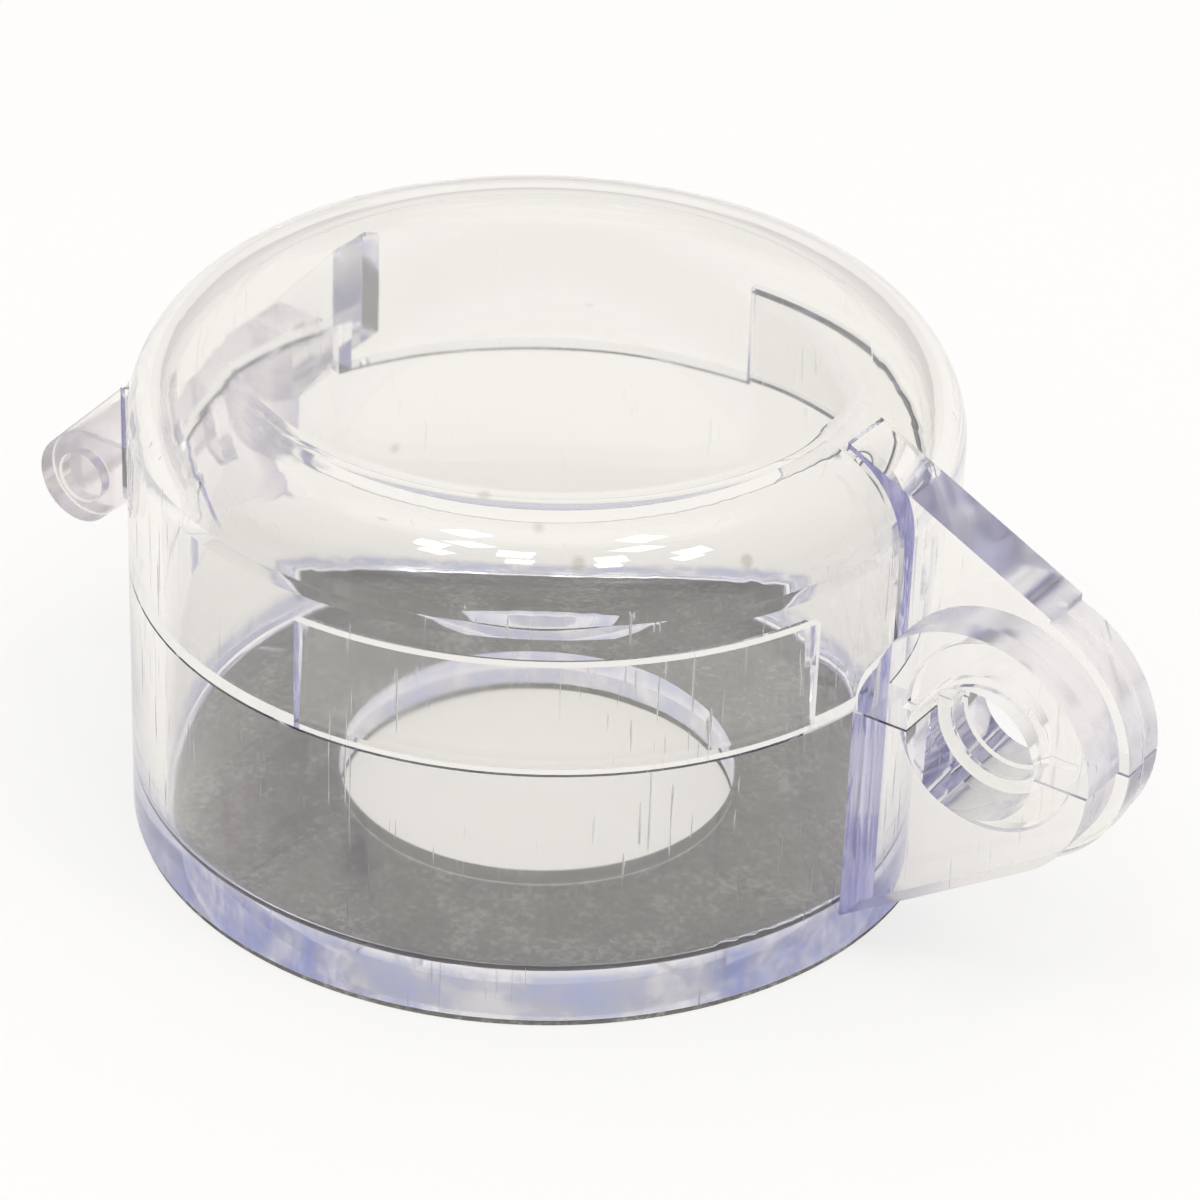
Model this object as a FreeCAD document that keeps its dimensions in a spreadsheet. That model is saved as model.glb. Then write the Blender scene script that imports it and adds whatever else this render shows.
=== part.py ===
import FreeCAD, Part
import Sketcher
import math
import os

# Hinged lockout cover for a panel push button: a clear cup that stands on the panel under the
# button's ring, a clear domed lid hinged to it, and a thin sealing washer below the cup.
# The origin is the centre of the button hole on the panel, +Z points away from the panel, the
# hasp is on +X and the hinge on -X, with its axis along Y.  Millimetres and degrees.

SIZES = [
    ("outer_radius", 31.0, "outside of cup and lid"),
    ("wall", 2.5, "wall of cup and lid"),
    ("cup_height", 21.0, "from the underside of the cup to its rim"),
    ("floor_thickness", 3.0, "floor of the cup"),
    ("floor_fillet", 1.2, "inside corner between floor and wall"),
    ("button_hole_radius", 15.25, "standard 30.5 mm push-button hole"),
    ("lid_height", 18.45, "from the lid's rim to its flat top"),
    ("lid_top_thickness", 2.5, "flat top of the lid"),
    ("shoulder_radius", 7.4, "outside rounding of the lid's shoulder"),
    ("rim_gap", 0.2, "between the cup's rim and the lid's rim"),
    ("gasket_thickness", 0.5, "sealing washer"),
    ("gasket_inset", 0.2, "washer's outer edge stands back from the cup's"),
    ("gasket_gap", 0.05, "between washer and cup"),
    ("tongue_thickness", 1.15, "upstanding tongue inside the lid's rim"),
    ("tongue_height", 8.4, "tongue above the cup's rim"),
    ("tongue_lean", 0.5, "tongue leans in by this much at its top"),
    ("tongue_gap", 0.2, "between the tongue and its rebate in the lid"),
    ("tongue_start", 16.5, "angle from the hasp where each tongue begins"),
    ("tongue_end", 90.0, "angle from the hasp where each tongue ends"),
    ("hasp_hole_x", 40.2, "centre of the padlock hole from the cup's axis"),
    ("shackle_radius", 4.0, "padlock hole, in the cup's eye"),
    ("lid_eye_hole_radius", 4.25, "padlock hole, in the lid's eye"),
    ("counterbore_radius", 5.2, "wider bore in the front cheek"),
    ("cheek_radius", 9.6, "outline of the lid's front cheek"),
    ("cup_cheek_radius", 9.4, "outline of the cup's front cheek"),
    ("plate_radius", 10.4, "outline of the middle layer"),
    ("back_radius", 10.2, "outline of the back layer"),
    ("eye_radius", 7.0, "outline of both eyes"),
    ("eye_gap", 0.2, "round and beside each eye"),
    ("cheek_front_y", -5.2, "front face of the front cheek"),
    ("plate_front_y", -0.8, "front face of the middle layer"),
    ("back_front_y", 1.4, "front face of the back layer"),
    ("back_y", 3.7, "back face of the hasp"),
    ("cup_plate_slope", 34.0, "underside of the cup's hasp plate"),
    ("web_slope", 25.8, "top edge of the lid's hasp web"),
    ("web_lift", 0.2, "top edge of the web outside the middle layer's round outline"),
    ("web_ledge_x", 3.15, "ledge between them, from the padlock hole's centre"),
    ("hinge_x", -33.65, "hinge axis from the cup's axis"),
    ("hinge_rise", 0.6, "hinge axis above the cup's rim"),
    ("knuckle_radius", 3.5, "outside of knuckle and arms"),
    ("knuckle_half_width", 10.9, "half the width of the cup's knuckle"),
    ("knuckle_pad_x", 31.3, "face of the pad below the knuckle, from the cup's axis"),
    ("knuckle_pad_half_width", 8.7, "half the width of the pad's face"),
    ("knuckle_pad_drop", 7.1, "pad below the cup's rim"),
    ("arm_gap", 0.2, "between the knuckle and each arm of the lid"),
    ("arm_thickness", 2.8, "arm of the lid, along the hinge axis"),
    ("arm_foot", 1.1, "step round the foot of each arm"),
    ("arm_slope", 45.0, "lean of the arms and of the knuckle's underside"),
    ("trunnion_radius", 2.0, "trunnion on each end of the knuckle"),
    ("trunnion_length", 1.9, "trunnion beyond the knuckle's end"),
    ("trunnion_fit", 0.08, "radial clearance of the trunnions"),
    ("trunnion_end_gap", 0.25, "between a trunnion's end and its socket"),
    ("notch_gap", 0.4, "between the knuckle's top and the notch in the lid"),
    ("core_rib", 3.0, "rib between the two cores of the knuckle"),
    ("core_skin", 1.5, "skin left round the two cores"),
]

doc = FreeCAD.newDocument("lockout_cover")
sheet = doc.addObject("Spreadsheet::Sheet", "sizes")
for row, (alias, number, note) in enumerate(SIZES, start=1):
    sheet.set("A%d" % row, alias)
    sheet.set("B%d" % row, str(number))
    sheet.set("C%d" % row, note)
    sheet.setAlias("B%d" % row, alias)
doc.recompute()


class Size:
    """A number together with the spreadsheet expression that it comes from."""

    def __init__(self, number, text):
        self.number = number
        self.text = text

    def __add__(self, other):
        other = as_size(other)
        return Size(self.number + other.number, "(%s + %s)" % (self.text, other.text))

    def __sub__(self, other):
        other = as_size(other)
        return Size(self.number - other.number, "(%s - %s)" % (self.text, other.text))

    def __mul__(self, other):
        other = as_size(other)
        return Size(self.number * other.number, "(%s * %s)" % (self.text, other.text))

    def __truediv__(self, other):
        other = as_size(other)
        return Size(self.number / other.number, "(%s / %s)" % (self.text, other.text))

    def __neg__(self):
        return Size(-self.number, "(0 - %s)" % self.text)


def as_size(value):
    return value if isinstance(value, Size) else Size(float(value), repr(float(value)))


def cell(alias):
    return Size(float(sheet.get(alias)), "sizes.%s" % alias)


def sine(angle):
    return Size(math.sin(math.radians(angle.number)), "sin(%s)" % angle.text)


def cosine(angle):
    return Size(math.cos(math.radians(angle.number)), "cos(%s)" % angle.text)


def tangent(angle):
    return sine(angle) / cosine(angle)


def arc_sine(value):
    return Size(math.degrees(math.asin(value.number)), "asin(%s)" % value.text)


def other_side(longest, side):
    """The third side of a right triangle."""
    square = longest * longest - side * side
    return Size(math.sqrt(square.number), "sqrt(%s)" % square.text)


# Sizes that the pieces share.
ZERO = as_size(0)
outer = cell("outer_radius")
inner = outer - cell("wall")
cup_bottom = cell("gasket_thickness") + cell("gasket_gap")
floor_top = cup_bottom + cell("floor_thickness")
rim = cup_bottom + cell("cup_height")
lid_rim = rim + cell("rim_gap")
lid_top = lid_rim + cell("lid_height")
lid_ceiling = lid_top - cell("lid_top_thickness")
in_wall = outer - cell("wall") / 2
shoulder = cell("shoulder_radius")
shoulder_z = lid_top - shoulder

hole_x = cell("hasp_hole_x")
hole_z = rim + cell("rim_gap") / 2
eye = cell("eye_radius")
eye_pocket = eye + cell("eye_gap")
cheek_y = cell("cheek_front_y")
plate_y = cell("plate_front_y")
split_y = cell("back_front_y")
back_y = cell("back_y")

axis_x = cell("hinge_x")
axis_z = rim + cell("hinge_rise")
knuckle = cell("knuckle_radius")
knuckle_y = cell("knuckle_half_width")
arm_inner_y = knuckle_y + cell("arm_gap")
arm_outer_y = arm_inner_y + cell("arm_thickness")
trunnion_y = knuckle_y + cell("trunnion_length")
notch_top = axis_z + knuckle + cell("notch_gap")


# Sketches and features.
def new_body(name):
    body = doc.addObject("PartDesign::Body", name)
    body.Label = name
    return body


def origin_plane(body, role):
    for feature in body.Origin.OriginFeatures:
        if feature.Role == role:
            return feature
    raise ValueError(role)


def bind(thing, path, size):
    thing.setExpression(path, size.text)


def new_sketch(body, name, role, offset=None):
    """A sketch on an origin plane of its body, moved by offset along the plane's normal."""
    sketch = body.newObject("Sketcher::SketchObject", name)
    sketch.AttachmentSupport = [(origin_plane(body, role), "")]
    sketch.MapMode = "FlatFace"
    if offset is not None:
        sketch.AttachmentOffset.Base.z = offset.number
        bind(sketch, "AttachmentOffset.Base.z", offset)
    return sketch


def lock(sketch, direction, geometry, corner, size):
    index = sketch.addConstraint(
        Sketcher.Constraint(direction, -1, 1, geometry, corner, size.number))
    bind(sketch, "Constraints[%d]" % index, size)


def draw(sketch, corners, arcs=()):
    """A closed outline.  corners are (x, y) pairs of sizes.  arcs maps the number of the edge
    that leaves a corner to (centre_x, centre_y, radius, counterclockwise), and every other edge
    is straight."""
    arcs = dict(arcs)
    count = len(corners)
    places = [FreeCAD.Vector(x.number, y.number, 0) for x, y in corners]
    edges = []
    for number in range(count):
        start, end = places[number], places[(number + 1) % count]
        if number in arcs:
            edges.append(draw_arc(sketch, start, end, arcs[number]))
        else:
            edges.append((sketch.addGeometry(Part.LineSegment(start, end)), 1, 2))
    for number, (edge, first, last) in enumerate(edges):
        following, following_first, _ = edges[(number + 1) % count]
        sketch.addConstraint(
            Sketcher.Constraint("Coincident", edge, last, following, following_first))
        lock(sketch, "DistanceX", edge, first, corners[number][0])
        lock(sketch, "DistanceY", edge, first, corners[number][1])
    for number, (centre_x, centre_y, _, _) in arcs.items():
        start, end = places[number], places[(number + 1) % count]
        chord = end - start
        if abs(chord.x) < abs(chord.y):
            lock(sketch, "DistanceX", edges[number][0], 3, centre_x)
        else:
            lock(sketch, "DistanceY", edges[number][0], 3, centre_y)


def draw_arc(sketch, start, end, arc):
    """The arc's index, with the numbers of its end points in the order of the outline."""
    centre_x, centre_y, radius, counterclockwise = arc
    centre = FreeCAD.Vector(centre_x.number, centre_y.number, 0)
    circle = Part.Circle(centre, FreeCAD.Vector(0, 0, 1), radius.number)
    first, last = (start, end) if counterclockwise else (end, start)
    turn = 2 * math.pi
    begin = math.atan2(first.y - centre.y, first.x - centre.x) % turn
    finish = math.atan2(last.y - centre.y, last.x - centre.x) % turn
    if finish <= begin:
        finish += turn
    index = sketch.addGeometry(Part.ArcOfCircle(circle, begin, finish))
    return (index, 1, 2) if counterclockwise else (index, 2, 1)


def draw_circle(sketch, centre_x, centre_y, radius):
    centre = FreeCAD.Vector(centre_x.number, centre_y.number, 0)
    index = sketch.addGeometry(Part.Circle(centre, FreeCAD.Vector(0, 0, 1), radius.number))
    lock(sketch, "DistanceX", index, 3, centre_x)
    lock(sketch, "DistanceY", index, 3, centre_y)
    number = sketch.addConstraint(Sketcher.Constraint("Radius", index, radius.number))
    bind(sketch, "Constraints[%d]" % number, radius)


def rectangle(left, bottom, right, top):
    return [(left, bottom), (right, bottom), (right, top), (left, top)]


def feature(body, kind, name, sketch):
    result = body.newObject("PartDesign::" + kind, name)
    result.Profile = sketch
    sketch.Visibility = False
    return result


def turn_about_z(body, kind, name, sketch, angle=None):
    """A full turn about Z, or angle degrees centred on the sketch's plane."""
    result = feature(body, kind, name, sketch)
    result.ReferenceAxis = (sketch, ["V_Axis"])
    if angle is None:
        result.Angle = 360.0
    else:
        result.Midplane = True
        result.Angle = angle.number
        bind(result, "Angle", angle)
    doc.recompute()
    return result


def slab(body, kind, name, draw_outline, y_from, y_to):
    """A pad or pocket between two planes across Y.  The XZ plane's normal is -Y, so the sketch
    lies on y_to's side and the feature runs from there towards y_from."""
    sketch = new_sketch(body, name + "_sketch", "XZ_Plane", -y_to)
    draw_outline(sketch)
    result = feature(body, kind, name, sketch)
    result.Length = (y_to - y_from).number
    bind(result, "Length", y_to - y_from)
    result.Reversed = kind == "Pocket"
    doc.recompute()
    return result


def ring_sector(body, kind, name, corners, middle, sweep):
    """A sector of a ring about Z, sweep degrees wide, with its middle at the angle middle."""
    sketch = new_sketch(body, name + "_sketch", "XZ_Plane")
    sketch.AttachmentOffset = FreeCAD.Placement(
        FreeCAD.Vector(0, 0, 0), FreeCAD.Rotation(FreeCAD.Vector(0, 1, 0), middle.number))
    bind(sketch, "AttachmentOffset.Rotation.Angle", middle)
    draw(sketch, corners)
    return turn_about_z(body, kind, name, sketch, sweep)


def mirror(body, name, originals):
    """Copies of features on the other side of the plane Y = 0."""
    result = body.newObject("PartDesign::Mirrored", name)
    result.Originals = originals
    result.MirrorPlane = (origin_plane(body, "XZ_Plane"), [""])
    body.Tip = result
    doc.recompute()
    return result


def disc(centre_x, centre_z, radius):
    return lambda sketch: draw_circle(sketch, centre_x, centre_z, radius)


# The cup.
def cup_profile(sketch):
    hole = cell("button_hole_radius")
    fillet = cell("floor_fillet")
    corners = [
        (hole, cup_bottom),
        (outer, cup_bottom),
        (outer, rim),
        (inner, rim),
        (inner, floor_top + fillet),
        (inner - fillet, floor_top),
        (hole, floor_top),
    ]
    draw(sketch, corners, {4: (inner - fillet, floor_top + fillet, fillet, False)})


def cup_plate(radius):
    """Lower half of a hasp layer: round about the hole, with a sloping underside."""
    slope = cell("cup_plate_slope")
    touch_x = hole_x + radius * sine(slope)
    touch_z = hole_z - radius * cosine(slope)
    drop = (touch_x - in_wall) * tangent(slope)
    reach = other_side(radius, hole_z - rim)
    corners = [
        (in_wall, touch_z - drop),
        (touch_x, touch_z),
        (hole_x + reach, rim),
        (in_wall, rim),
    ]
    return lambda sketch: draw(sketch, corners, {1: (hole_x, hole_z, radius, True)})


knuckle_root_x = cell("wall") / 4 - other_side(outer, knuckle_y)


def knuckle_outline(sketch):
    """Round barrel that joins the wall, with an underside that leans up like the lid's arms."""
    lean = cell("arm_slope")
    touch_x = axis_x + knuckle * sine(lean)
    touch_z = axis_z - knuckle * cosine(lean)
    corners = [
        (knuckle_root_x, axis_z + knuckle),
        (axis_x, axis_z + knuckle),
        (touch_x, touch_z),
        (knuckle_root_x, touch_z + (knuckle_root_x - touch_x) * tangent(lean)),
    ]
    draw(sketch, corners, {1: (axis_x, axis_z, knuckle, True)})


def knuckle_pad(body):
    """Flat-faced pad on the wall below the knuckle, narrower at its face."""
    drop = cell("knuckle_pad_drop")
    face_x = -cell("knuckle_pad_x")
    face_y = cell("knuckle_pad_half_width")
    wall_x = -other_side(outer, knuckle_y)
    sketch = new_sketch(body, "knuckle_pad_sketch", "XY_Plane", rim - drop)
    draw(sketch, [
        (knuckle_root_x, -knuckle_y),
        (knuckle_root_x, knuckle_y),
        (wall_x, knuckle_y),
        (face_x, face_y),
        (face_x, -face_y),
        (wall_x, -knuckle_y),
    ])
    pad = feature(body, "Pad", "knuckle_pad", sketch)
    pad.Length = drop.number
    bind(pad, "Length", drop)
    doc.recompute()


def build_cup():
    body = new_body("base_cup")
    sketch = new_sketch(body, "cup_sketch", "XZ_Plane")
    cup_profile(sketch)
    turn_about_z(body, "Revolution", "cup_shell", sketch)

    slab(body, "Pad", "cup_cheek", cup_plate(cell("cup_cheek_radius")), cheek_y, plate_y)
    slab(body, "Pad", "cup_plate", cup_plate(cell("plate_radius")), plate_y, split_y)
    slab(body, "Pad", "cup_back", cup_plate(cell("back_radius")), split_y, back_y)
    slab(body, "Pad", "cup_eye", disc(hole_x, hole_z, eye), split_y + cell("eye_gap"), back_y)
    slab(body, "Pocket", "cup_counterbore", disc(hole_x, hole_z, cell("counterbore_radius")),
         cheek_y, plate_y)
    slab(body, "Pocket", "cup_eye_pocket", disc(hole_x, hole_z, eye_pocket), plate_y, split_y)
    slab(body, "Pocket", "cup_eye_hole", disc(hole_x, hole_z, cell("shackle_radius")),
         split_y, back_y)

    slab(body, "Pad", "knuckle", knuckle_outline, -knuckle_y, knuckle_y)
    knuckle_pad(body)
    upstand = rectangle(inner, rim - cell("wall"), outer, axis_z + knuckle)
    ring_sector(body, "Revolution", "hinge_upstand", upstand, as_size(180),
                arc_sine(knuckle_y / outer) * 2)
    slab(body, "Pad", "trunnions", disc(axis_x, axis_z, cell("trunnion_radius")),
         -trunnion_y, trunnion_y)
    knuckle_cores(body)

    sketch = new_sketch(body, "cup_bore_sketch", "XY_Plane", floor_top + cell("floor_fillet"))
    draw_circle(sketch, ZERO, ZERO, inner)
    bore = feature(body, "Pocket", "cup_bore", sketch)
    bore.Length = cell("cup_height").number
    bind(bore, "Length", cell("cup_height"))
    bore.Reversed = True
    doc.recompute()
    cup_tongues(body)
    return body


def cup_tongues(body):
    start = cell("tongue_start")
    end = cell("tongue_end")
    lean = cell("tongue_lean")
    face = inner + cell("tongue_thickness")
    top = rim + cell("tongue_height")
    tongue = [
        (inner, rim - cell("wall")),
        (face, rim - cell("wall")),
        (face, rim),
        (face - lean, top),
        (inner - lean, top),
        (inner, rim),
    ]
    left = ring_sector(body, "Revolution", "tongue", tongue, (start + end) / 2, end - start)
    mirror(body, "tongues", [left])


def knuckle_cores(body):
    """Two cores open downwards, which leave the knuckle a skin and a middle rib."""
    skin = cell("core_skin")
    left = axis_x - knuckle + skin
    right = -cell("knuckle_pad_x")
    near = cell("core_rib") / 2
    far = knuckle_y - skin * 2
    sketch = new_sketch(body, "cores_sketch", "XY_Plane")
    draw(sketch, rectangle(left, near, right, far))
    draw(sketch, rectangle(left, -far, right, -near))
    cores = feature(body, "Pocket", "knuckle_cores", sketch)
    depth = axis_z + knuckle - skin
    cores.Length = depth.number
    bind(cores, "Length", depth)
    cores.Reversed = True
    doc.recompute()


# The lid.
def lid_profile(sketch):
    inside = shoulder - cell("wall")
    corners = [
        (ZERO, lid_ceiling),
        (inner - inside, lid_ceiling),
        (inner, lid_ceiling - inside),
        (inner, lid_rim),
        (outer, lid_rim),
        (outer, shoulder_z),
        (outer - shoulder, lid_top),
        (ZERO, lid_top),
    ]
    draw(sketch, corners, {
        1: (inner - inside, lid_ceiling - inside, inside, False),
        5: (outer - shoulder, shoulder_z, shoulder, True),
    })


def lid_web(radius):
    """Upper half of a hasp layer: round about the hole, then a ledge and a straight top edge
    that climbs to the lid's flat top."""
    slope = cell("web_slope")
    lifted = cell("plate_radius") + cell("web_lift")
    foot_x = hole_x + lifted * sine(slope)
    foot_z = hole_z + lifted * cosine(slope)
    ledge_x = hole_x + cell("web_ledge_x")
    start_x = foot_x - (lid_top - foot_z) / tangent(slope)
    corners = [
        (in_wall, lid_rim),
        (hole_x + other_side(radius, lid_rim - hole_z), lid_rim),
        (ledge_x, hole_z + other_side(radius, cell("web_ledge_x"))),
        (ledge_x, foot_z + (foot_x - ledge_x) * tangent(slope)),
        (start_x, lid_top),
        (start_x, lid_top - cell("lid_top_thickness") / 2),
        (in_wall, shoulder_z),
    ]
    return lambda sketch: draw(sketch, corners, {1: (hole_x, hole_z, radius, True)})


def lid_cheek(sketch):
    radius = cell("cheek_radius")
    reach = other_side(radius, lid_rim - hole_z)
    corners = [(hole_x - reach, lid_rim), (hole_x + reach, lid_rim)]
    draw(sketch, corners, {1: (hole_x, hole_z, radius, True)})


def arm_top(x):
    """Height of the upper edge of a leaning arm."""
    lean = cell("arm_slope")
    return axis_z + knuckle * cosine(lean) + (x - axis_x + knuckle * sine(lean)) * tangent(lean)


def arm_bottom(x):
    """Height of the lower edge of a leaning arm."""
    lean = cell("arm_slope")
    return axis_z - knuckle * cosine(lean) + (x - axis_x - knuckle * sine(lean)) * tangent(lean)


def arm_outline(sketch):
    """A leaning arm of even width with a round end about the hinge axis."""
    lean = cell("arm_slope")
    wall_x = cell("wall") / 3 - other_side(outer, arm_outer_y)
    left_x = axis_x - knuckle * sine(lean)
    right_x = axis_x + knuckle * sine(lean)
    corners = [
        (left_x, arm_top(left_x)),
        (right_x, arm_bottom(right_x)),
        (wall_x, arm_bottom(wall_x)),
        (wall_x, arm_top(wall_x)),
    ]
    draw(sketch, corners, {0: (axis_x, axis_z, knuckle, True)})


def arm_foot_outline(sketch):
    """A step between an arm's outer flank and the wall, as high as the arm."""
    foot = cell("arm_foot")
    step_x = -other_side(outer, arm_outer_y) - foot / 2
    wall_x = cell("wall") / 3 - other_side(outer, arm_outer_y + foot)
    corners = [
        (step_x, arm_bottom(step_x)),
        (wall_x, arm_bottom(wall_x)),
        (wall_x, arm_top(step_x)),
        (step_x, arm_top(step_x)),
    ]
    draw(sketch, corners)


def build_lid():
    body = new_body("lid")
    sketch = new_sketch(body, "lid_sketch", "XZ_Plane")
    lid_profile(sketch)
    turn_about_z(body, "Revolution", "lid_shell", sketch)

    gap = cell("tongue_gap")
    start = cell("tongue_start") - gap * 3
    end = cell("tongue_end") + gap * 3
    rebate = rectangle(inner - gap, lid_rim - gap, inner + cell("tongue_thickness") + gap,
                       rim + cell("tongue_height") + gap)
    left = ring_sector(body, "Groove", "rebate", rebate, (start + end) / 2, end - start)
    mirror(body, "rebates", [left])

    sketch = new_sketch(body, "notch_sketch", "YZ_Plane")
    draw(sketch, rectangle(-arm_inner_y, lid_rim - gap, arm_inner_y, notch_top))
    notch = feature(body, "Pocket", "hinge_notch", sketch)
    notch.Length = (outer + gap).number
    bind(notch, "Length", outer + gap)
    doc.recompute()

    slab(body, "Pad", "lid_web_middle", lid_web(cell("plate_radius")), plate_y, split_y)
    slab(body, "Pad", "lid_web_back", lid_web(cell("back_radius")), split_y, back_y)
    slab(body, "Pad", "lid_cheek", lid_cheek, cheek_y, plate_y)
    slab(body, "Pad", "lid_eye", disc(hole_x, hole_z, eye),
         plate_y + cell("eye_gap"), split_y - cell("eye_gap"))
    slab(body, "Pocket", "lid_counterbore", disc(hole_x, hole_z, cell("counterbore_radius")),
         cheek_y, plate_y)
    slab(body, "Pocket", "lid_eye_hole", disc(hole_x, hole_z, cell("lid_eye_hole_radius")),
         plate_y, split_y)
    slab(body, "Pocket", "lid_eye_pocket", disc(hole_x, hole_z, eye_pocket), split_y, back_y)

    arm = slab(body, "Pad", "arm", arm_outline, arm_inner_y, arm_outer_y)
    foot = slab(body, "Pad", "arm_foot", arm_foot_outline,
                arm_outer_y, arm_outer_y + cell("arm_foot"))
    socket = slab(body, "Pocket", "socket",
                  disc(axis_x, axis_z, cell("trunnion_radius") + cell("trunnion_fit")),
                  arm_inner_y, trunnion_y + cell("trunnion_end_gap"))
    mirror(body, "arms", [arm, foot, socket])
    return body


# The washer.
def build_gasket():
    body = new_body("gasket")
    sketch = new_sketch(body, "gasket_sketch", "XZ_Plane")
    draw(sketch, rectangle(cell("button_hole_radius"), ZERO, outer - cell("gasket_inset"),
                           cell("gasket_thickness")))
    turn_about_z(body, "Revolution", "gasket_ring", sketch)
    return body


bodies = [build_cup(), build_lid(), build_gasket()]
doc.recompute()

for thing in doc.Objects:
    if "Invalid" in thing.State or "Error" in thing.State:
        raise RuntimeError("%s: %s" % (thing.Name, thing.State))
for body in bodies:
    if body.Shape.isNull() or not body.Shape.isValid() or len(body.Shape.Solids) != 1:
        raise RuntimeError("%s has no single valid solid" % body.Label)

os.makedirs("parts", exist_ok=True)
for body in bodies:
    body.Shape.exportStep(os.path.join("parts", body.Label + ".step"))
    print("%-10s %9.1f mm3" % (body.Label, body.Shape.Volume))
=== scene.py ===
import math

import bpy
from mathutils import Matrix, Vector

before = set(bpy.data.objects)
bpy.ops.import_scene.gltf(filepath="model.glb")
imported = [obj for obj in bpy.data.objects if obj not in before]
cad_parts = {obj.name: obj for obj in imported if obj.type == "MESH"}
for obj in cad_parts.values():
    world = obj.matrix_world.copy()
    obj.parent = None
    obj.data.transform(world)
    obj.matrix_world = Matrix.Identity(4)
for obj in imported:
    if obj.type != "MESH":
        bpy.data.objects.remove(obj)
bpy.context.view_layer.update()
MM = 0.001
scene = bpy.context.scene

# Places on the part that its materials follow.
EYE_CENTRE = (40.2 * MM, 0, 21.65 * MM)
EYE_BORES = 7.7 * MM
HASP_START = 31.6 * MM
HINGE_START = -31.2 * MM
KNUCKLE_HALF_WIDTH = 10.95 * MM
SKIRT_RADIUS = 29.5 * MM
FOOT_FULL = 4.2 * MM
FOOT_END = 5.2 * MM

# The camera.
AZIMUTH = math.radians(33.15)
ELEVATION = math.radians(31.42)
ROLL = math.radians(2.12)
DISTANCE = 368.4 * MM
PART_MIDDLE = Vector((0, 0, 20.55 * MM))
AIM_RIGHT = 4.40 * MM
AIM_DOWN = 2.81 * MM
LENS = 146.98
NEAREST_SEEN = 10 * MM

# How far light is followed through the clear plastic.
CLEAR_BOUNCES = 160
DIFFUSE_BOUNCES = 3
BRIGHTEST_BOUNCE = 10

# The light. The floor looks white to the camera by this share, and cream through plastic.
CAMERA_SHARE = 0.75
PLASTIC_SHARE = 0.55
CREAM = (0.96, 0.935, 0.895)
WHITE = (1, 1, 1)
BLACK = (0, 0, 0)
FLOOR_SIZE = 8
FLOOR_DROP = 0.02 * MM
LAMP_SIZE = 0.11
LAMP_RADIANCE = 15
LAMPS = [
    (-0.08, -0.52, 0.85),
    (-0.08, -0.25, 0.97),
    (0.19, -0.45, 0.875),
    (0.49, -0.30, 0.82),
    (0.33, 0.0, 0.944),
    (0.64, -0.06, 0.766),
]


class Graph:
    """The shader nodes of one tree, made by short calls. Texture scales are per metre."""

    def __init__(self, tree):
        self.nodes = tree.nodes
        self.links = tree.links
        self.nodes.clear()

    def add(self, kind):
        return self.nodes.new("ShaderNode" + kind)

    def feed(self, socket, value):
        """Sets a socket to a plain number or colour, or links an output to it."""
        if isinstance(value, bpy.types.NodeSocket):
            self.links.new(value, socket)
        elif isinstance(value, tuple) and socket.type == "RGBA":
            socket.default_value = (*value, 1)
        else:
            socket.default_value = value

    def math(self, operation, first, second=None):
        node = self.add("Math")
        node.operation = operation
        self.feed(node.inputs[0], first)
        if second is not None:
            self.feed(node.inputs[1], second)
        return node.outputs[0]

    def product(self, *factors):
        result = factors[0]
        for factor in factors[1:]:
            result = self.math("MULTIPLY", result, factor)
        return result

    def below(self, value, limit):
        """1 where the size of the value is under the limit, whatever its sign."""
        return self.math("LESS_THAN", self.math("ABSOLUTE", value), limit)

    def ramp(self, value, stops):
        node = self.add("ValToRGB")
        elements = node.color_ramp.elements
        while len(elements) < len(stops):
            elements.new(0.5)
        for element, (position, colour) in zip(elements, stops):
            element.position = position
            element.color = (*colour, 1)
        self.feed(node.inputs[0], value)
        return node.outputs[0]

    def step_up(self, value, start, end):
        return self.ramp(value, [(start, BLACK), (end, WHITE)])

    def mix(self, factor, first, second):
        node = self.add("Mix")
        node.data_type = "RGBA"
        self.feed(node.inputs["Factor"], factor)
        self.feed(node.inputs[6], first)
        self.feed(node.inputs[7], second)
        return node.outputs[2]

    def noise(self, coords, scale, detail, rough=0.55):
        node = self.add("TexNoise")
        self.feed(node.inputs["Scale"], scale)
        self.feed(node.inputs["Detail"], detail)
        self.feed(node.inputs["Roughness"], rough)
        self.feed(node.inputs["Vector"], coords)
        return node.outputs[0]

    def split(self, vector):
        node = self.add("SeparateXYZ")
        self.feed(node.inputs[0], vector)
        return node.outputs


def new_material(name):
    material = bpy.data.materials.new(name)
    material.use_nodes = True
    return material, Graph(material.node_tree)


def scratches(g, place, facing):
    """Fine upright scratches, in patches of the upright walls."""
    stretch = g.add("Mapping")
    g.feed(stretch.inputs["Scale"], (2600, 2600, 110))
    g.feed(stretch.inputs["Vector"], place)
    lines = g.step_up(g.noise(stretch.outputs[0], 1, 1, 0.6), 0.70, 0.76)
    patches = g.step_up(g.noise(place, 70, 0), 0.42, 0.52)
    upright = g.below(g.split(facing)[2], 0.3)
    return g.product(lines, patches, upright)


def relief(g, place, marks):
    """Faint moulding waves, with the scratches cut into them."""
    waves = g.noise(place, 55, 1)
    bump = g.add("Bump")
    g.feed(bump.inputs["Strength"], 0.35)
    g.feed(bump.inputs["Distance"], 0.0006)
    g.feed(bump.inputs["Height"],
           g.math("ADD", g.product(waves, 0.25), g.product(marks, -0.04)))
    return bump.outputs[0]


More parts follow.
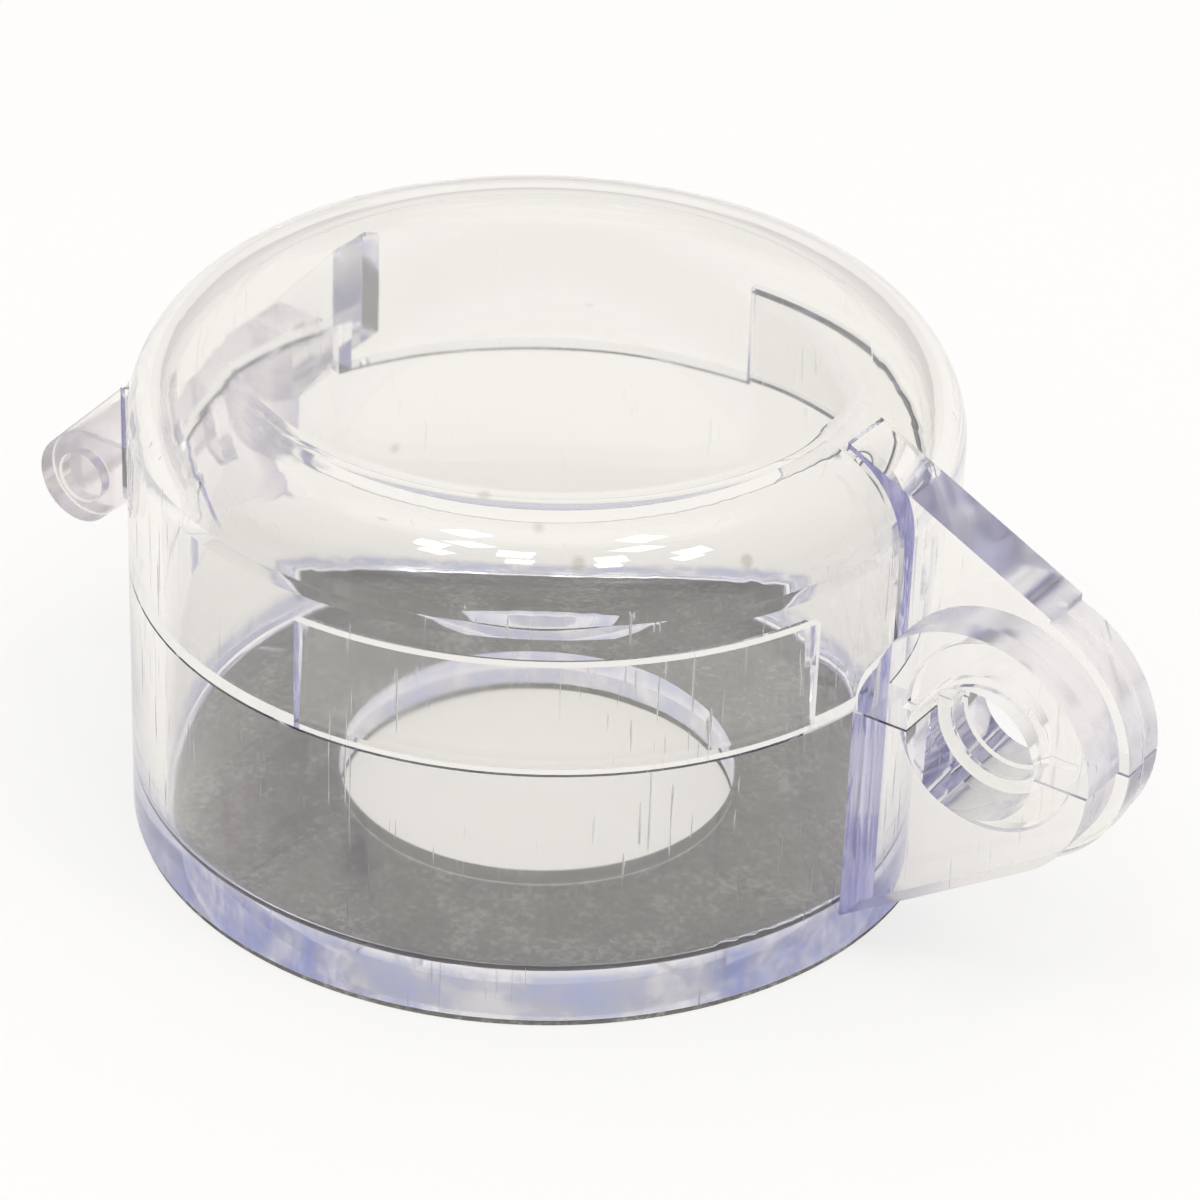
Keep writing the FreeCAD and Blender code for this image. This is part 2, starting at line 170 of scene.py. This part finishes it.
def hasp_edges(g, place, facing):
    """1 on the narrow outer edges of the hasp's layers."""
    beyond = g.math("GREATER_THAN", g.split(place)[0], HASP_START)
    narrow = g.below(g.split(facing)[1], 0.5)
    level = g.add("VectorMath")
    level.operation = "MULTIPLY"
    g.feed(level.inputs[0], place)
    g.feed(level.inputs[1], (1, 0, 1))
    reach = g.add("VectorMath")
    reach.operation = "DISTANCE"
    g.feed(reach.inputs[0], level.outputs[0])
    g.feed(reach.inputs[1], EYE_CENTRE)
    outside = g.math("GREATER_THAN", reach.outputs["Value"], EYE_BORES)
    return g.product(beyond, narrow, outside)


def gloss(g, place, edges, hinge, marks):
    """Roughness: polished, with satin hasp edges and hinge, and dull scratches."""
    polish = g.ramp(g.noise(place, 45, 2), [(0.35, (0.01,) * 3), (0.75, (0.06,) * 3)])
    satin = g.math("MAXIMUM", g.product(edges, 0.22), g.product(hinge, 0.16))
    satin = g.math("MAXIMUM", satin, g.product(marks, 0.45))
    return g.math("MAXIMUM", polish, satin)


def foot(g, place):
    """1 on the outside of the cup's thick foot, where a blue glow is painted."""
    x, y, z = g.split(place)
    radius = g.math("SQRT", g.math("ADD", g.product(x, x), g.product(y, y)))
    skirt = g.math("GREATER_THAN", radius, SKIRT_RADIUS)
    centimetres = g.product(z, 0.1 / MM)
    low = g.ramp(centimetres, [(0.1 * FOOT_FULL / MM, WHITE), (0.1 * FOOT_END / MM, BLACK)])
    return g.product(low, skirt)


def dust(g, place):
    """A few specks."""
    cells = g.add("TexVoronoi")
    g.feed(cells.inputs["Scale"], 110)
    g.feed(cells.inputs["Vector"], place)
    near = g.ramp(cells.outputs["Distance"], [(0.03, WHITE), (0.07, BLACK)])
    return g.product(near, g.step_up(cells.outputs["Color"], 0.45, 0.50))


def polycarbonate():
    """Clear plastic, faintly violet along a long path. Its thick foot is bluer partly
    through its own absorption and partly through a blue glow painted on the foot's outside.
    """
    material, g = new_material("clear_polycarbonate")
    coords = g.add("TexCoord")
    place = coords.outputs["Object"]
    facing = coords.outputs["Normal"]
    x, y = g.split(place)[:2]
    marks = scratches(g, place, facing)
    edges = hasp_edges(g, place, facing)
    hinge = g.math("LESS_THAN", x, HINGE_START)
    knuckle = g.product(hinge, g.below(y, KNUCKLE_HALF_WIDTH))

    # Painted glow: a blue tint painted on the outside of the thick foot. It stands in for
    # the glow that light gives through the thick moulding.
    painted_foot_glow = g.ramp(g.noise(place, 230, 4, 0.7), [
        (0.36, (0.30, 0.36, 0.72)),
        (0.50, (0.42, 0.44, 0.62)),
        (0.64, (0.80, 0.81, 0.87)),
    ])
    plastic_colour_and_painted_glow = g.mix(foot(g, place), (1.0, 0.998, 0.992), painted_foot_glow)
    # Painted shade: a faint lavender tint painted on the hasp's outer edges and the hinge
    # knuckle. It stands in for the colour light takes through the thick plastic there.
    plastic_colour_and_painted_glow = g.mix(edges, plastic_colour_and_painted_glow, (0.95, 0.94, 1.0))
    plastic_colour_and_painted_glow = g.mix(knuckle, plastic_colour_and_painted_glow, (0.93, 0.90, 0.94))
    plastic_colour_and_painted_glow = g.mix(dust(g, place), plastic_colour_and_painted_glow, (0.62, 0.58, 0.52))

    surface = g.add("BsdfPrincipled")
    g.feed(surface.inputs["Transmission Weight"], 1)
    g.feed(surface.inputs["IOR"], 1.586)
    g.feed(surface.inputs["Base Color"], plastic_colour_and_painted_glow)
    g.feed(surface.inputs["Roughness"], gloss(g, place, edges, hinge, marks))
    g.feed(surface.inputs["Normal"], relief(g, place, marks))
    inside = g.add("VolumeAbsorption")
    g.feed(inside.inputs["Color"], (0.27, 0.28, 0.74))
    g.feed(inside.inputs["Density"], 4.2)
    out = g.add("OutputMaterial")
    g.feed(out.inputs["Surface"], surface.outputs[0])
    g.feed(out.inputs["Volume"], inside.outputs[0])
    return material


def rubber():
    """Matt dark rubber, clouded and grainy."""
    material, g = new_material("gasket_rubber")
    place = g.add("TexCoord").outputs["Object"]
    clouds = g.noise(place, 140, 4, 0.65)
    grain = g.noise(place, 1600, 3, 0.8)
    mottle = g.math("ADD", g.product(clouds, 0.5), g.product(grain, 0.5))
    surface = g.add("BsdfPrincipled")
    g.feed(surface.inputs["Roughness"], 0.85)
    g.feed(surface.inputs["Base Color"], g.ramp(mottle, [
        (0.40, (0.15, 0.145, 0.14)),
        (0.52, (0.23, 0.225, 0.22)),
        (0.62, (0.50, 0.49, 0.47)),
    ]))
    g.feed(g.add("OutputMaterial").inputs["Surface"], surface.outputs[0])
    return material


def dress_part():
    clear = polycarbonate()
    dark = rubber()
    for name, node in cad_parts.items():
        node.data.materials.clear()
        node.data.materials.append(dark if name == "gasket" else clear)


def floor_material():
    """Pale paper that takes the shadow, and mostly plain white to the camera."""
    material, g = new_material("floor")
    paper = g.add("BsdfDiffuse")
    g.feed(paper.inputs[0], (0.84, 0.825, 0.795))
    rays = g.add("LightPath").outputs
    white = g.add("Emission")
    g.feed(white.inputs[0], g.ramp(rays["Is Camera Ray"], [(0, CREAM), (1, WHITE)]))
    seen = g.product(rays["Is Camera Ray"], CAMERA_SHARE)
    through = g.product(rays["Is Transmission Ray"], PLASTIC_SHARE)
    mirrored = g.product(rays["Is Glossy Ray"], PLASTIC_SHARE)
    share = g.math("MAXIMUM", seen, g.math("MAXIMUM", through, mirrored))
    mix = g.add("MixShader")
    g.feed(mix.inputs[0], share)
    g.feed(mix.inputs[1], paper.outputs[0])
    g.feed(mix.inputs[2], white.outputs[0])
    g.feed(g.add("OutputMaterial").inputs["Surface"], mix.outputs[0])
    return material


def build_floor():
    bpy.ops.mesh.primitive_plane_add(size=FLOOR_SIZE, location=(0, 0, -FLOOR_DROP))
    floor = bpy.context.object
    floor.name = "floor"
    floor.data.materials.append(floor_material())


def build_world():
    """A soft sky, dimmer near the horizon, and plain white to the camera."""
    world = bpy.data.worlds.new("world")
    scene.world = world
    world.use_nodes = True
    g = Graph(world.node_tree)
    height = g.split(g.add("TexCoord").outputs["Generated"])[2]
    sky = g.add("Background")
    g.feed(sky.inputs[0], g.ramp(height, [
        (0.0, (0.64, 0.618, 0.582)),
        (0.10, (0.68, 0.658, 0.62)),
        (0.30, (0.83, 0.807, 0.765)),
        (0.70, (0.94, 0.918, 0.885)),
    ]))
    plain = g.add("Background")
    g.feed(plain.inputs[0], WHITE)
    mix = g.add("MixShader")
    g.feed(mix.inputs[0], g.add("LightPath").outputs["Is Camera Ray"])
    g.feed(mix.inputs[1], sky.outputs[0])
    g.feed(mix.inputs[2], plain.outputs[0])
    g.feed(g.add("OutputWorld").inputs[0], mix.outputs[0])


def build_lamps():
    """Small square lamps a metre away that look at the part."""
    for i, direction in enumerate(LAMPS):
        name = "lamp_%d" % i
        light = bpy.data.lights.new(name, "AREA")
        light.shape = "SQUARE"
        light.size = LAMP_SIZE
        light.energy = LAMP_RADIANCE * math.pi * LAMP_SIZE ** 2
        lamp = bpy.data.objects.new(name, light)
        scene.collection.objects.link(lamp)
        lamp.location = Vector(direction).normalized()
        lamp.rotation_mode = "QUATERNION"
        lamp.rotation_quaternion = (-lamp.location).to_track_quat("-Z", "Y")


def build_camera():
    back = Vector((
        math.sin(AZIMUTH) * math.cos(ELEVATION),
        -math.cos(AZIMUTH) * math.cos(ELEVATION),
        math.sin(ELEVATION),
    ))
    right = Vector((math.cos(AZIMUTH), math.sin(AZIMUTH), 0))
    up = back.cross(right)
    target = PART_MIDDLE + right * AIM_RIGHT - up * AIM_DOWN
    side = right * math.cos(ROLL) + up * math.sin(ROLL)
    top = up * math.cos(ROLL) - right * math.sin(ROLL)
    place = Matrix((side, top, back)).transposed().to_4x4()
    place.translation = target + back * DISTANCE
    camera = bpy.data.objects.new("camera", bpy.data.cameras.new("camera"))
    scene.collection.objects.link(camera)
    camera.matrix_world = place
    camera.data.sensor_width = 36
    camera.data.lens = LENS
    camera.data.clip_start = NEAREST_SEEN
    scene.camera = camera


def set_light_paths():
    """Lets light cross many walls of clear plastic and run along them."""
    scene.cycles.max_bounces = CLEAR_BOUNCES
    scene.cycles.transmission_bounces = CLEAR_BOUNCES
    scene.cycles.glossy_bounces = CLEAR_BOUNCES
    scene.cycles.diffuse_bounces = DIFFUSE_BOUNCES
    scene.cycles.sample_clamp_indirect = BRIGHTEST_BOUNCE


build_camera()
set_light_paths()
dress_part()
build_floor()
build_world()
build_lamps()
scene.view_settings.view_transform = "Standard"
